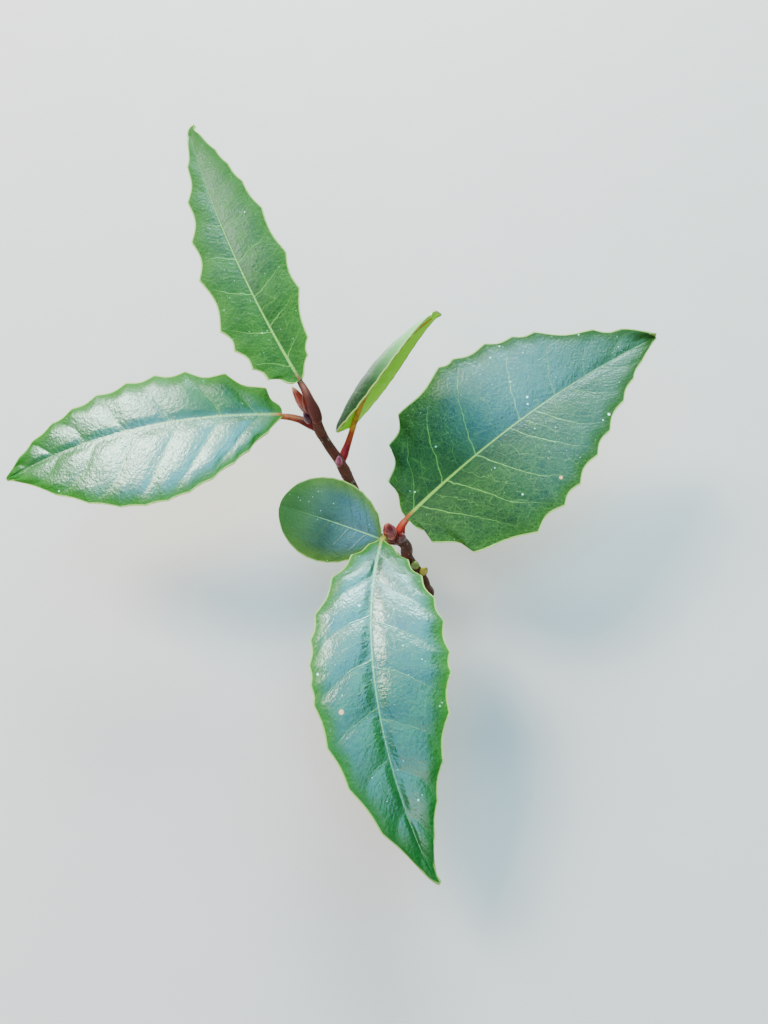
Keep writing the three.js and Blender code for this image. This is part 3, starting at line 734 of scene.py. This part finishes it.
def blade_sheet(name, leaf):
    """The blade: a grid laid along the midrib's course and out to both margins, not yet thickened.
    """
    rib = midrib(leaf)
    teeth = len(leaf["teeth"][0]) + 1
    along_steps, across_steps = teeth * STEPS_PER_TOOTH, STEPS_ACROSS
    if leaf["length"] < SMALL_LEAF:
        along_steps, across_steps = along_steps * 2 // 3, across_steps * 2 // 3
    bpy.ops.object.select_all(action="DESELECT")
    bpy.ops.mesh.primitive_grid_add(x_subdivisions=along_steps, y_subdivisions=across_steps, size=1)
    sheet = bpy.context.object
    flat = places(sheet) * MM
    even = flat[:, 1] * 2
    across = even - CREASE_PACKING * np.sin(2 * np.pi * even) / (2 * np.pi)
    column = (flat[:, 0] + 0.5) * teeth
    at_margin = []
    for half in (0, 1):
        shares = np.array([0, *leaf["teeth"][half], 1])
        at_margin.append(np.interp(column, np.arange(len(shares)), shares))
    share = at_margin[1] + (at_margin[0] - at_margin[1]) * (across + 1) / 2
    spots, out, inside = blade_points(leaf, rib, share, across)
    ahead, behind = (blade_points(leaf, rib, share + d, across)[0]
                     for d in (NORMAL_STEP, -NORMAL_STEP))
    one, other = (blade_points(leaf, rib, share, across + d)[0]
                  for d in (NORMAL_STEP, -NORMAL_STEP))
    facing = np.cross(ahead - behind, one - other)
    facing /= np.linalg.norm(facing, axis=1)[:, None]
    count, gap = side_veins(leaf, share, across)
    rib_width = leaf["rib"] * np.interp(share, RIB_SHARES, RIB_HALF_WIDTHS)
    a, off_rib, along = np.abs(across), np.abs(out), share * leaf["length"]
    swell, seed = leaf["swell"], leaf["seed"]
    plan = np.stack([along, out, np.full(len(share), 20.0 * seed)], 1)
    lift = (swell * np.abs(np.sin(np.pi * count)) ** 0.8 * between(a, 0.02, 0.2)
            * (1 - between(a, 0.7, 1)) * between(share, 0, 0.12))
    lift += RIB_PROUD * rib_width * np.exp(-((out / rib_width) ** 2))
    lift += swell * 0.8 * a**2 * ripple(plan, MARGIN_WAVE_SIZE, seed) * between(share, 0, 0.1)
    lift += swell * 0.25 * ripple(plan, LUMP_SIZE, seed + 5) * between(off_rib, 0, 1.5)
    fine = 0.006 + 0.012 * swell
    lift += fine * ripple(plan, FINE_LUMP_SIZE, seed + 9) * between(off_rib, 0, 1)
    lift += leaf.get("curled_tip", 0) * between(share, 0.88, 0.98) * between(across, 0.2, 1)
    move_to(sheet, spots + facing * lift[:, None])
    mark(sheet, "leaf_plan", along, out, inside)
    mark(sheet, "leaf_veins", count, gap, rib_width)
    mark(sheet, "leaf_shares", share, a)
    sheet.name = sheet.data.name = name + "_blade"
    return sheet


def product(tree, a, b):
    """Two values multiplied."""
    return maths(tree, "MULTIPLY", a, b)


def place_maths(tree, operation, a, b=(0, 0, 0)):
    """One arithmetic step on places."""
    return put(tree, "ShaderNodeVectorMath", {0: a, 1: b}, operation=operation)


def bent_place(tree, place):
    """Places on the blade, pushed about a little, so that cells and lines don't look ruled."""
    push = put(tree, "ShaderNodeTexNoise", {"Vector": place, "Scale": 0.8, "Detail": 3.0})
    push = place_maths(tree, "MULTIPLY", push.outputs["Color"], (0.7, 0.7, 0.0)).outputs[0]
    return place_maths(tree, "ADD", place, push).outputs[0]


# The net of fine veins, the pale flecks and the mottled green, which both faces of a blade share.
leaf_net = bpy.data.node_groups.new("leaf_net", "ShaderNodeTree")
leaf_net.interface.new_socket(name="Plan", in_out="INPUT", socket_type="NodeSocketVector")
for label in ("Net", "Flecks", "Mottle"):
    leaf_net.interface.new_socket(name=label, in_out="OUTPUT", socket_type="NodeSocketFloat")
inward = put(leaf_net, "NodeGroupInput").outputs["Plan"]
outward = put(leaf_net, "NodeGroupOutput")
bent = bent_place(leaf_net, inward)
net = []
for scale, thin, strength in ((0.55, 0.035, 0.55), (1.3, 0.07, 0.42), (2.6, 0.13, 0.2)):
    cells = put(leaf_net, "ShaderNodeTexVoronoi", {"Vector": bent, "Scale": scale},
                feature="DISTANCE_TO_EDGE")
    net.append(ramp(leaf_net, cells.outputs["Distance"], 0.0, thin, strength, 0.0))
net = maths(leaf_net, "MAXIMUM", maths(leaf_net, "MAXIMUM", net[0], net[1]), net[2])
leaf_net.links.new(net, outward.inputs["Net"])
flecks = []
for scale, radius, least in ((0.42, 0.085, 0.3), (1.2, 0.1, 0.5)):
    dots = put(leaf_net, "ShaderNodeTexVoronoi", {"Vector": inward, "Scale": scale})
    chance = put(leaf_net, "ShaderNodeSeparateColor", {0: dots.outputs["Color"]}).outputs[0]
    size = ramp(leaf_net, chance, least, 0.98, 0.012, radius)
    off_dot = maths(leaf_net, "DIVIDE", dots.outputs["Distance"], size)
    flecks.append(ramp(leaf_net, off_dot, 0.55, 1.15, 1.0, 0.0))
flecks = maths(leaf_net, "MULTIPLY_ADD", flecks[1], 0.6, flecks[0])
leaf_net.links.new(flecks, outward.inputs["Flecks"])
leaf_net.links.new(noise_of(leaf_net, inward, 0.3, 5.0, 0.6), outward.inputs["Mottle"])


def blade_grain(tree, place):
    """Tiny swellings between the veins, which the light catches."""
    bent = bent_place(tree, place)
    cells = put(tree, "ShaderNodeTexVoronoi", {"Vector": bent, "Scale": 1.9}, feature="SMOOTH_F1")
    return maths(tree, "MULTIPLY_ADD", cells.outputs["Distance"], -1.0,
                 noise_of(tree, bent, 3.2, 2.0))


def vein_marks(tree, wander, count, gap, share, across):
    """How far a place is from the nearest side vein, and how strongly a vein shows there, with the
    finer veins that run halfway between the others."""
    from_vein = product(tree, maths(tree, "PINGPONG", count, 0.5), gap)
    width = ramp(tree, across, 0.0, 0.9, 0.14, 0.07)
    vein = ramp(tree, maths(tree, "DIVIDE", from_vein, width), 0.3, 1.0, 1.0, 0.0)
    vein = product(tree, vein, ramp(tree, across, 0.65, 0.92, 1.0, 0.12))
    halfway = maths(tree, "MULTIPLY_ADD", wander, 0.35, maths(tree, "ADD", count, 0.5))
    halfway = product(tree, maths(tree, "PINGPONG", halfway, 0.5), gap)
    halfway = product(tree, ramp(tree, halfway, 0.02, 0.08, 0.5, 0.0),
                      ramp(tree, across, 0.35, 0.7, 1.0, 0.0))
    vein = maths(tree, "MAXIMUM", vein, halfway)
    return from_vein, product(tree, vein, ramp(tree, share, 0.3, 0.8, 1.0, 0.2))


def spotted(tree, colour, spots, plan, wander):
    """A colour with small blemishes on it."""
    for along, out, size, own_colour in spots:
        away = place_maths(tree, "SUBTRACT", plan, (along, out, 0)).outputs[0]
        away = place_maths(tree, "MULTIPLY", away, (1, 1, 0)).outputs[0]
        away = place_maths(tree, "LENGTH", away).outputs["Value"]
        away = maths(tree, "MULTIPLY_ADD", wander, size, away)
        colour = blend_of(tree, ramp(tree, away, 0.6 * size, 1.2 * size, 0.85, 0.0), colour,
                          rgb(*own_colour))
    return colour


def waxed(tree, skin, leaf, share, out, inside, height):
    """The wax that mirrors the sky, thick on some stretches of a half and thin on others."""
    halves = [maths(tree, "ADD", ramp(tree, share, 0.2, 0.55, at_foot, at_middle),
                    ramp(tree, share, 0.55, 0.9, 0.0, at_tip - at_middle))
              for at_foot, at_middle, at_tip in leaf["wax"]]
    wax = maths(tree, "MULTIPLY_ADD", maths(tree, "SUBTRACT", halves[0], halves[1]),
                ramp(tree, out, -1.5, 1.5), halves[1])
    wax = product(tree, wax, ramp(tree, inside, 0.3, 3.2, 0.06, 1.0))
    feed(tree, skin, {"Coat Weight": maths(tree, "MINIMUM", wax, 1.0),
                      "Coat Normal": bumps(tree, height, 0.1, 0.55)})
    skin.inputs["Coat Roughness"].default_value = leaf["gloss"]
    skin.inputs["Coat IOR"].default_value = 2.0


def blade_finish(name, leaf, upper_side):
    """Skin of one face of a blade: glossy and deep above, matt and paler below."""
    material, tree, skin = finish(name)
    plan, along, out, inside = kept_values(tree, "leaf_plan")
    count, gap, rib_width = kept_values(tree, "leaf_veins")[1:]
    share, across = kept_values(tree, "leaf_shares")[1:3]
    own_place = put(tree, "ShaderNodeMapping", {
        "Vector": plan, "Location": (37.0 * leaf["seed"], 0, 0), "Scale": (1, 1, 0)}).outputs[0]
    net = put(tree, "ShaderNodeGroup", node_tree=leaf_net)
    tree.links.new(own_place, net.inputs["Plan"])
    wander = maths(tree, "SUBTRACT", noise_of(tree, own_place, 0.5, 2.0), 0.5)
    count = maths(tree, "MULTIPLY_ADD", wander, 0.15, count)
    from_vein, vein = vein_marks(tree, wander, count, gap, share, across)
    from_rib = maths(tree, "DIVIDE", maths(tree, "ABSOLUTE", out), rib_width)
    if upper_side:
        deep, light, edge = (rgb(*leaf[key]) for key in ("deep", "light", "edge"))
        pale, net_shows, flecks_show = rgb(112, 142, 56), 0.5, 0.8
    else:
        # The folded leaf's under colours carry a painted glow of light shining through it.
        deep, light, edge = (rgb(*colour) for colour in leaf.get("under", UNDERSIDE))
        pale, net_shows, flecks_show = rgb(150, 160, 80), 0.7, 0.25
    colour = blend_of(tree, ramp(tree, net.outputs["Mottle"], 0.35, 0.68), deep, light)
    colour = blend_of(tree, ramp(tree, inside, 0.2, 3.0, 0.8, 0.0), colour, edge)
    colour = blend_of(tree, ramp(tree, from_vein, 0.0, 0.9, 0.3, 0.0), colour, light)
    if upper_side:
        # Towards the tip the blade takes its tip colour; on the folded leaf this is partly a
        # painted sheen.
        colour = blend_of(tree, ramp(tree, share, 0.4, 0.95, 0.0, 0.8), colour,
                          rgb(*leaf.get("tip", leaf["light"])))
    fine = product(tree, net.outputs["Net"], leaf["net"] * net_shows)
    fine = product(tree, fine, ramp(tree, across, 0.05, 0.3, 0.5, 1.0))
    fine = product(tree, fine, ramp(tree, share, 0.35, 0.8, 1.0, 0.35))
    colour = blend_of(tree, fine, colour, pale)
    colour = blend_of(tree, product(tree, vein, leaf["vein"]), colour, pale)
    rib_colour = blend_of(tree, ramp(tree, along, 0.0, 2.6), rgb(*leaf["stalk_colours"][1]),
                          rgb(*leaf["rib_colour"]))
    rib_colour = blend_of(tree, ramp(tree, share, 0.4, 1.0, 0.0, 0.6), rib_colour, light)
    colour = blend_of(tree, ramp(tree, from_rib, 0.45, 1.1, 0.92, 0.0), colour, rib_colour)
    margin = product(tree, ramp(tree, inside, 0.1, 0.3, 0.85, 0.0), ramp(tree, from_rib, 1.0, 1.6))
    colour = blend_of(tree, margin, colour, rgb(156, 156, 72))
    if upper_side:
        colour = spotted(tree, colour, leaf.get("spots", ()), plan, wander)
    colour = blend_of(tree, product(tree, net.outputs["Flecks"], flecks_show), colour,
                      rgb(208, 232, 204))
    streak_place = put(tree, "ShaderNodeCombineXYZ", {"X": product(tree, count, 13.0),
                                                      "Y": product(tree, out, 0.5)}).outputs[0]
    height = maths(tree, "MULTIPLY_ADD", vein, 0.6, blade_grain(tree, own_place))
    height = maths(tree, "MULTIPLY_ADD", noise_of(tree, streak_place, 1.0, 2.0),
                   0.3 if leaf["length"] < SMALL_LEAF else 0.9, height)
    roughness = ramp(tree, net.outputs["Mottle"], 0.3, 0.7, 0.46, 0.58)
    feed(tree, skin, {"Base Color": colour, "Roughness": roughness,
                      "Normal": bumps(tree, height, 0.1, 0.8)})
    skin.inputs["Specular IOR Level"].default_value = 0.06
    if upper_side:
        waxed(tree, skin, leaf, share, out, inside, height)
    return material


rim_finish, tree, skin = finish("blade_margin")
place = put(tree, "ShaderNodeTexCoord").outputs["Object"]
tone = noise_of(tree, place, 700.0, 3.0)
colour = blend_of(tree, ramp(tree, tone, 0.4, 0.66), rgb(160, 158, 70), rgb(144, 116, 56))
feed(tree, skin, {"Base Color": colour, "Roughness": ramp(tree, tone, 0.3, 0.7, 0.4, 0.55)})

for name, leaf in LEAVES.items():
    sheet = blade_sheet(name, leaf)
    for finish_made in (blade_finish(name + "_upper_skin", leaf, True),
                        blade_finish(name + "_under_skin", leaf, False), rim_finish):
        sheet.data.materials.append(finish_made)
    apply_modifier(sheet, "SOLIDIFY", thickness=BLADE_THICKNESS * MM, offset=0.0, use_rim=True,
                   material_offset=1, material_offset_rim=2)
    shade_smooth(sheet)
    bpy.ops.object.shade_smooth_by_angle(angle=math.radians(SMOOTH_BEND))
    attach(sheet, "root")
    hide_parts(name)

# Buds. Each is a short pointed egg of overlapping leathery scales, dark red and shiny on the
# shoots' ends and in the leaf axils, and yellow-green low on the short shoot. Each scale grows from
# the bud's foot, and its thin edge lifts a little from the one below.
BUDS = {
    "short_shoot_end_bud": {
        "foot": (-6.15, 1.5, 18.6), "tip": (-7.12, 1.92, 22.3), "radius": 1.05, "slot": "bud",
        # The pinkish tip colour of this bud is partly its own colour, partly a painted highlight
        # where its top catches the light.
        "colours": ((156, 58, 28), (112, 30, 32), (206, 92, 68)), "turn": 0.4},
    "right_side_bud": {
        "foot": (-4.7, 1.0, 18.3), "tip": (-4.4, 0.9, 20.7), "radius": 0.7, "slot": "bud",
        "colours": ((84, 22, 16), (70, 13, 13), (112, 34, 28)), "turn": 1.9},
    "tall_shoot_end_bud": {
        "foot": (-19.2, 16.1, 32.3), "tip": (-21.4, 17.13, 37.5), "radius": 0.8, "slot": "bud",
        "colours": ((104, 26, 30), (148, 42, 26), (214, 128, 90)), "turn": 2.6},
    "upper_side_bud": {
        "foot": (-19.1, 15.2, 30.9), "tip": (-19.9, 15.6, 33.2), "radius": 0.55, "slot": "bud",
        "colours": ((86, 26, 28), (66, 16, 30), (120, 56, 60)), "turn": 0.9},
    "lower_side_bud": {
        "foot": (-14.8, 12.6, 22.7), "tip": (-14.8, 12.9, 25.1), "radius": 0.55, "slot": "bud",
        "colours": ((128, 30, 40), (140, 42, 62), (168, 76, 92)), "turn": 0.2},
    "basal_bud_a": {
        "foot": (-2.0, 1.0, 8.5), "tip": (-2.15, 0.6, 10.7), "radius": 0.68, "slot": "pale_bud",
        "colours": ((96, 98, 22), (116, 122, 28), (134, 132, 40)), "turn": 1.2},
    "basal_bud_b": {
        "foot": (-0.8, 0.8, 6.3), "tip": (0.0, 0.7, 8.6), "radius": 0.64, "slot": "pale_bud",
        "colours": ((160, 126, 34), (200, 158, 46), (124, 74, 34)), "turn": 0.0},
}
BUD_FOOT_PHASE = 0.16
BUD_FULLNESS = 0.8
SCALE_TOPS = (0.55, 0.62, 0.86, 0.99)
SCALE_SPAN = 1.5
SCALE_LIFT = 0.035
SCALE_THICKNESS = 0.06
SCALE_FOOT = 0.02
SCALE_TURN = math.pi * 0.93
SCALE_GRID = (18, 20)
CORE_REACH = 0.97
CORE_MERIDIANS = 28
CORE_RINGS = 22


def bud_swell(share):
    """The bud's radius at shares of its length, as a share of its greatest."""
    phase = BUD_FOOT_PHASE + (1 - BUD_FOOT_PHASE) * np.clip(share, 0, 1) ** BUD_FULLNESS
    return np.clip(np.sin(np.pi * phase), 0, 1) ** BUD_FULLNESS


def bud_finish(name, foot_colour, body_colour, tip_colour):
    """Skin of the bud scales: taut and shiny, and paler at their edges."""
    material, tree, skin = finish(name)
    share, rim = kept_values(tree, "bud_plan")[1:3]
    place = put(tree, "ShaderNodeTexCoord").outputs["Object"]
    blotch = noise_of(tree, place, 900.0, 3.0)
    wander = maths(tree, "MULTIPLY_ADD", blotch, 0.3, share)
    colour = blend_of(tree, ramp(tree, wander, 0.3, 0.65), rgb(*foot_colour), rgb(*body_colour))
    # Towards the tip the tip colour; on the short shoot's end bud this is partly a painted
    # highlight.
    colour = blend_of(tree, ramp(tree, wander, 0.92, 1.2), colour, rgb(*tip_colour))
    colour = blend_of(tree, ramp(tree, rim, 0.86, 1.0, 0.0, 0.5), colour, rgb(*tip_colour))
    feed(tree, skin, {"Base Color": colour, "Roughness": ramp(tree, blotch, 0.3, 0.7, 0.16, 0.26)})
    return material


for name, spec in BUDS.items():
    foot, tip, radius = np.array(spec["foot"]), np.array(spec["tip"]), spec["radius"]
    reach = tip - foot
    axis = reach / np.linalg.norm(reach)
    side = np.array(Vector(axis).orthogonal().normalized())
    other_side = np.cross(axis, side)

    def on_bud(share, angle, lift):
        out = radius * bud_swell(share) + lift
        return (foot + reach * share[:, None] + side * (out * np.cos(angle))[:, None]
                + other_side * (out * np.sin(angle))[:, None])

    bpy.ops.object.select_all(action="DESELECT")
    bpy.ops.mesh.primitive_uv_sphere_add(segments=CORE_MERIDIANS, ring_count=CORE_RINGS, radius=1)
    core = bpy.context.object
    ball = places(core) * MM
    share = (ball[:, 2] + 1) / 2
    at_pole = np.abs(ball[:, 2]) > 0.999
    to_axis = np.where(at_pole, -radius * bud_swell(share * CORE_REACH), 0)
    move_to(core, on_bud(share * CORE_REACH, np.arctan2(ball[:, 1], ball[:, 0]), to_axis))
    mark(core, "bud_plan", share)
    parts = [core]
    for i, top in enumerate(SCALE_TOPS):
        bpy.ops.mesh.primitive_grid_add(x_subdivisions=SCALE_GRID[0],
                                        y_subdivisions=SCALE_GRID[1], size=1)
        scale = bpy.context.object
        flat = places(scale) * MM
        u, v = flat[:, 0] * 2, flat[:, 1] + 0.5
        outline = (1 - v**3) ** 0.6
        centre = i * SCALE_TURN + spec["turn"]
        share = SCALE_FOOT + (top - SCALE_FOOT) * v
        edge = np.maximum(np.abs(u), v)
        lift = radius * SCALE_LIFT * (1 - i / 6) * (1 + edge**4) + 0.02
        move_to(scale, on_bud(share, centre + u * SCALE_SPAN * outline, lift))
        mark(scale, "bud_plan", share, edge)
        apply_modifier(scale, "SOLIDIFY", thickness=SCALE_THICKNESS * MM, offset=-1.0, use_rim=True)
        bpy.ops.object.mode_set(mode="EDIT")
        bpy.ops.mesh.select_all(action="SELECT")
        bpy.ops.mesh.remove_doubles(threshold=1e-6)
        bpy.ops.mesh.normals_make_consistent(inside=False)
        bpy.ops.object.mode_set(mode="OBJECT")
        parts.append(scale)
    bud = join(parts, name + "_scales")
    shade_smooth(bud)
    bud.data.materials.clear()
    bud.data.materials.append(bud_finish(name + "_skin", *spec["colours"]))
    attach(bud, "root")
    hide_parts(name)

# The studio: a plain pale floor, soft light from the sky side and a camera that looks down on the
# plant at 60 degrees, 14 cm from its foot. Far off, the floor glows and meets the pale backdrop.
BACKDROP = (204, 220, 232)
BACKDROP_SHOWS = 1.4
BACKDROP_LIGHTS = 0.08
FLOOR_SIZE = 6
FLOOR_GLOW_FROM = 0.3
FLOOR_GLOW_FULL = 1.3
FLOOR_GLOW = 1.45
# Each lamp's place and the side of its square in metres, its watts and its colour.
LAMPS = {
    "key_lamp": ((-0.443, 0.259, 0.579), 0.28, 15.0, (228, 255, 242)),
    "back_sky_lamp": ((-0.008, 0.658, 0.397), 0.34, 19.0, (196, 250, 255)),
    "side_sky_lamp": ((0.303, 0.546, 0.441), 0.4, 3.4, (170, 240, 245)),
    "right_sky_lamp": ((0.208, 0.341, 0.658), 0.42, 4.2, (100, 210, 240)),
    "high_sky_lamp": ((0.145, -0.256, 0.707), 0.42, 2.5, (118, 213, 255)),
    "overhead_lamp": ((-0.008, 0.086, 0.768), 0.4, 5.0, (100, 205, 255)),
    "left_sky_lamp": ((-0.24, -0.25, 0.69), 0.4, 4.5, (80, 180, 255)),
    "front_sky_lamp": ((-0.008, -0.567, 0.504), 0.42, 3.5, (221, 255, 253)),
}
LAMP_TARGET = (-0.008, 0.008, 0.022)
CAMERA_AT = (-0.00744, -0.05739, 0.12853)
CAMERA_TILT = 30
CAMERA_LENS = 27.04
CAMERA_FILM = 36
CAMERA_NEAREST = 0.005

bpy.ops.object.select_all(action="DESELECT")
bpy.ops.mesh.primitive_plane_add(size=FLOOR_SIZE, location=(0, 0, 0))
floor = bpy.context.object
floor.name = "studio_floor"
floor_paint, tree, skin = finish("pale_floor")
place = put(tree, "ShaderNodeTexCoord").outputs["Object"]
far_off = place_maths(tree, "LENGTH", place).outputs["Value"]
tone = blend_of(tree, noise_of(tree, place, 60.0, 3.0), rgb(184, 147, 136), rgb(190, 152, 141))
glow = ramp(tree, far_off, FLOOR_GLOW_FROM, FLOOR_GLOW_FULL, 0.0, FLOOR_GLOW)
feed(tree, skin, {"Base Color": tone, "Emission Strength": glow})
skin.inputs["Emission Color"].default_value = rgb(*BACKDROP)
skin.inputs["Roughness"].default_value = 0.8
floor.data.materials.append(floor_paint)

world = bpy.data.worlds.new("studio_light")
bpy.context.scene.world = world
world.use_nodes = True
tree = world.node_tree
tree.nodes["Background"].inputs["Color"].default_value = rgb(*BACKDROP)
seen = put(tree, "ShaderNodeLightPath").outputs["Is Camera Ray"]
tree.links.new(maths(tree, "MULTIPLY_ADD", seen, BACKDROP_SHOWS, BACKDROP_LIGHTS),
               tree.nodes["Background"].inputs["Strength"])

for name, (spot, side, watts, colour) in LAMPS.items():
    light = bpy.data.lights.new(name, "AREA")
    light.shape = "SQUARE"
    light.size = side
    light.energy = watts
    light.color = rgb(*colour)[:3]
    lamp = bpy.data.objects.new(name, light)
    bpy.context.scene.collection.objects.link(lamp)
    lamp.location = spot
    aim = Vector(LAMP_TARGET) - Vector(spot)
    lamp.rotation_euler = aim.to_track_quat("-Z", "Y").to_euler()

camera_data = bpy.data.cameras.new("camera")
camera = bpy.data.objects.new("camera", camera_data)
bpy.context.scene.collection.objects.link(camera)
camera.location = CAMERA_AT
camera.rotation_euler = (math.radians(CAMERA_TILT), 0, 0)
camera_data.lens = CAMERA_LENS
camera_data.sensor_width = CAMERA_FILM
camera_data.clip_start = CAMERA_NEAREST
bpy.context.scene.camera = camera
